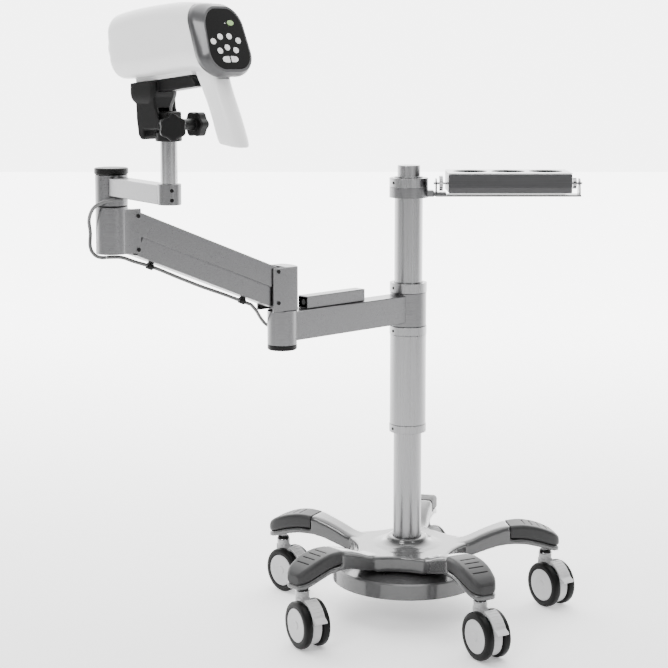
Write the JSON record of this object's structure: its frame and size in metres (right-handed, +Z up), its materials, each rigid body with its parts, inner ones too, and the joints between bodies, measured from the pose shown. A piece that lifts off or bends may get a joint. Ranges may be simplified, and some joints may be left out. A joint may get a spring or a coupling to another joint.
{
  "type": "video colposcope on mobile stand",
  "caption": "Video colposcope head on a jointed, balanced swing arm, carried by a column on a mobile star base with braked casters and a tilting cup tray.",
  "frame": {"origin": "floor level, under the middle of the bounding box", "axes": "+Z up; +X towards the tray side of the column; -Y towards the side the operator's arm reaches to"},
  "size_m": [1.0056, 1.1919, 1.3244],
  "materials": {
    "brushed_aluminium": "brushed",
    "steel": "satin",
    "grey_paint": "gloss",
    "grey_rubber": "matte",
    "caster_plastic": "satin",
    "tyre": "matte",
    "white_plastic": "satin",
    "bezel_grey": "metallic satin",
    "black_plastic": "matte",
    "black_gloss": "gloss",
    "lens_glass": "polished",
    "cable_grey": "matte"
  },
  "bodies": {
    "stand": {"base_star": "grey_paint", "footrest_pad_1": "grey_rubber", "footrest_pad_2": "grey_rubber", "footrest_pad_3": "grey_rubber", "footrest_pad_4": "grey_rubber", "footrest_pad_5": "grey_rubber", "ballast_disc": "grey_paint", "column_tube": "brushed_aluminium", "column_spigot": "brushed_aluminium", "sleeve_base_collar": "brushed_aluminium", "spacer_sleeve": "brushed_aluminium", "arm_support_collar": "brushed_aluminium", "arm_stop_collar": "brushed_aluminium", "top_clamp_collar": "brushed_aluminium"},
    "caster_1": {"caster_1_fork": "caster_plastic"},
    "wheels_1": {"caster_1_wheels": "tyre"},
    "pedal_1": {"caster_1_brake": "caster_plastic"},
    "caster_2": {"caster_2_fork": "caster_plastic"},
    "wheels_2": {"caster_2_wheels": "tyre"},
    "pedal_2": {"caster_2_brake": "caster_plastic"},
    "caster_3": {"caster_3_fork": "caster_plastic"},
    "wheels_3": {"caster_3_wheels": "tyre"},
    "pedal_3": {"caster_3_brake": "caster_plastic"},
    "caster_4": {"caster_4_fork": "caster_plastic"},
    "wheels_4": {"caster_4_wheels": "tyre"},
    "pedal_4": {"caster_4_brake": "caster_plastic"},
    "caster_5": {"caster_5_fork": "caster_plastic"},
    "wheels_5": {"caster_5_wheels": "tyre"},
    "pedal_5": {"caster_5_brake": "caster_plastic"},
    "tray_arm": {"tray_swing_ring": "brushed_aluminium", "tray_bracket": "brushed_aluminium"},
    "tray": {"tray_box": "brushed_aluminium", "tray_lid": "white_plastic"},
    "left_clamp": {"tray_left_knob": "steel"},
    "right_clamp": {"tray_right_knob": "steel"},
    "lower_arm": {"lower_arm": "brushed_aluminium", "elbow_end_cap": "black_plastic", "junction_box": "brushed_aluminium", "cable_elbow_loop": "cable_grey"},
    "elbow": {"elbow_bracket": "brushed_aluminium"},
    "upper_link": {"upper_link": "brushed_aluminium"},
    "lower_link": {"lower_link": "brushed_aluminium", "gas_spring": "black_plastic", "cable_arm_run": "cable_grey"},
    "knuckle": {"tip_knuckle": "brushed_aluminium"},
    "short_arm": {"short_arm": "brushed_aluminium", "short_arm_cap": "black_plastic", "head_post": "steel", "cable_tip_loop": "cable_grey"},
    "mount": {"post_socket": "black_plastic"},
    "head": {"tilt_cradle": "black_plastic", "head_shell": "white_plastic", "rear_bezel": "bezel_grey", "keypad_panel": "black_gloss", "front_ring": "bezel_grey", "lens": "lens_glass", "camera_module": "black_plastic", "cable_camera": "cable_grey"},
    "tilt_clamp": {"tilt_knob": "black_plastic"},
    "swivel_clamp": {"swivel_knob": "black_plastic"}
  },
  "joints": [
    {"name": "caster_1_swivel", "type": "hinge", "parent": "stand", "child": "caster_1", "pos_m": [-0.15683, 0.39351, 0.12], "axis": [0, 0, 1], "continuous": true},
    {"name": "caster_1_roll", "type": "hinge", "parent": "caster_1", "child": "wheels_1", "pos_m": [-0.14155, 0.37769, 0.05], "axis": [0.7193, 0.6947, 0], "continuous": true},
    {"name": "caster_1_brake_pedal", "type": "hinge", "parent": "caster_1", "child": "pedal_1", "pos_m": [-0.13808, 0.37409, 0.088], "axis": [0.7193, 0.6947, 0], "range_deg": [-8, 0]},
    {"name": "caster_2_swivel", "type": "hinge", "parent": "stand", "child": "caster_2", "pos_m": [-0.10534, 0.02241, 0.12], "axis": [0, 0, 1], "continuous": true},
    {"name": "caster_2_roll", "type": "hinge", "parent": "caster_2", "child": "wheels_2", "pos_m": [-0.09434, 0.00336, 0.05], "axis": [0.866, 0.5, 0], "continuous": true},
    {"name": "caster_2_brake_pedal", "type": "hinge", "parent": "caster_2", "child": "pedal_2", "pos_m": [-0.09184, -0.00097, 0.088], "axis": [0.866, 0.5, 0], "range_deg": [-8, 0]},
    {"name": "caster_3_swivel", "type": "hinge", "parent": "stand", "child": "caster_3", "pos_m": [0.26351, -0.04329, 0.12], "axis": [0, 0, 1], "continuous": true},
    {"name": "caster_3_roll", "type": "hinge", "parent": "caster_3", "child": "wheels_3", "pos_m": [0.27451, -0.06234, 0.05], "axis": [0.866, 0.5, 0], "continuous": true},
    {"name": "caster_3_brake_pedal", "type": "hinge", "parent": "caster_3", "child": "pedal_3", "pos_m": [0.27701, -0.06667, 0.088], "axis": [0.866, 0.5, 0], "range_deg": [-8, 0]},
    {"name": "caster_4_swivel", "type": "hinge", "parent": "stand", "child": "caster_4", "pos_m": [0.43998, 0.2872, 0.12], "axis": [0, 0, 1], "continuous": true},
    {"name": "caster_4_roll", "type": "hinge", "parent": "caster_4", "child": "wheels_4", "pos_m": [0.45196, 0.26875, 0.05], "axis": [0.8387, 0.5446, 0], "continuous": true},
    {"name": "caster_4_brake_pedal", "type": "hinge", "parent": "caster_4", "child": "pedal_4", "pos_m": [0.45468, 0.26456, 0.088], "axis": [0.8387, 0.5446, 0], "range_deg": [-8, 0]},
    {"name": "caster_5_swivel", "type": "hinge", "parent": "stand", "child": "caster_5", "pos_m": [0.18019, 0.55716, 0.12], "axis": [0, 0, 1], "continuous": true},
    {"name": "caster_5_roll", "type": "hinge", "parent": "caster_5", "child": "wheels_5", "pos_m": [0.19119, 0.53811, 0.05], "axis": [0.866, 0.5, 0], "continuous": true},
    {"name": "caster_5_brake_pedal", "type": "hinge", "parent": "caster_5", "child": "pedal_5", "pos_m": [0.19369, 0.53378, 0.088], "axis": [0.866, 0.5, 0], "range_deg": [-8, 0]},
    {"name": "tray_swing", "type": "hinge", "parent": "stand", "child": "tray_arm", "pos_m": [0.1243, 0.2434, 0.938], "axis": [0, 0, 1], "range_deg": [-90, 90]},
    {"name": "tray_tilt", "type": "hinge", "parent": "tray_arm", "child": "tray", "pos_m": [0.3403, 0.2434, 0.9575], "axis": [1, 0, 0], "range_deg": [-8, 8]},
    {"name": "tray_left_knob_turn", "type": "hinge", "parent": "tray_arm", "child": "left_clamp", "pos_m": [0.1903, 0.2434, 0.9575], "axis": [1, 0, 0], "continuous": true},
    {"name": "tray_right_knob_turn", "type": "hinge", "parent": "tray_arm", "child": "right_clamp", "pos_m": [0.4843, 0.2434, 0.9575], "axis": [1, 0, 0], "continuous": true},
    {"name": "lower_arm_swing", "type": "hinge", "parent": "stand", "child": "lower_arm", "pos_m": [0.1243, 0.2434, 0.68], "axis": [0, 0, 1], "range_deg": [-70, 40]},
    {"name": "elbow_swing", "type": "hinge", "parent": "lower_arm", "child": "elbow", "pos_m": [-0.14541, -0.00548, 0.7], "axis": [0, 0, 1], "range_deg": [-60, 90], "deforming": ["cable_elbow_loop"]},
    {"name": "arm_pitch", "type": "hinge", "parent": "elbow", "child": "upper_link", "pos_m": [-0.16879, -0.02428, 0.801], "axis": [-0.6266, 0.7793, 0], "range_deg": [-30, 12], "deforming": ["cable_arm_run"]},
    {"name": "lower_link_pitch", "type": "hinge", "parent": "elbow", "child": "lower_link", "pos_m": [-0.16879, -0.02428, 0.737], "axis": [-0.6266, 0.7793, 0], "range_deg": [-30, 12]},
    {"name": "knuckle_level", "type": "hinge", "parent": "upper_link", "child": "knuckle", "pos_m": [-0.42551, -0.23069, 0.93461], "axis": [-0.6266, 0.7793, 0], "range_deg": [-12, 30]},
    {"name": "tip_swing", "type": "hinge", "parent": "knuckle", "child": "short_arm", "pos_m": [-0.45668, -0.25575, 0.96], "axis": [0, 0, 1], "range_deg": [-70, 90], "deforming": ["cable_tip_loop"]},
    {"name": "mount_swivel", "type": "hinge", "parent": "short_arm", "child": "mount", "pos_m": [-0.32723, -0.46211, 1.1], "axis": [0, 0, 1], "range_deg": [-170, 170]},
    {"name": "head_tilt", "type": "hinge", "parent": "mount", "child": "head", "pos_m": [-0.3257, -0.46339, 1.114], "axis": [-0.6428, -0.766, 0], "range_deg": [-20, 12], "deforming": ["cable_camera"]},
    {"name": "tilt_knob_turn", "type": "hinge", "parent": "mount", "child": "tilt_clamp", "pos_m": [-0.28263, -0.41207, 1.114], "axis": [0.6428, 0.766, 0], "continuous": true},
    {"name": "swivel_knob_turn", "type": "hinge", "parent": "mount", "child": "swivel_clamp", "pos_m": [-0.3161, -0.50364, 1.112], "axis": [0.2588, -0.9659, 0], "continuous": true}
  ],
  "couplings": [
    {"joint": "lower_link_pitch", "follows": "arm_pitch", "ratio": 1},
    {"joint": "knuckle_level", "follows": "arm_pitch", "ratio": -1}
  ]
}
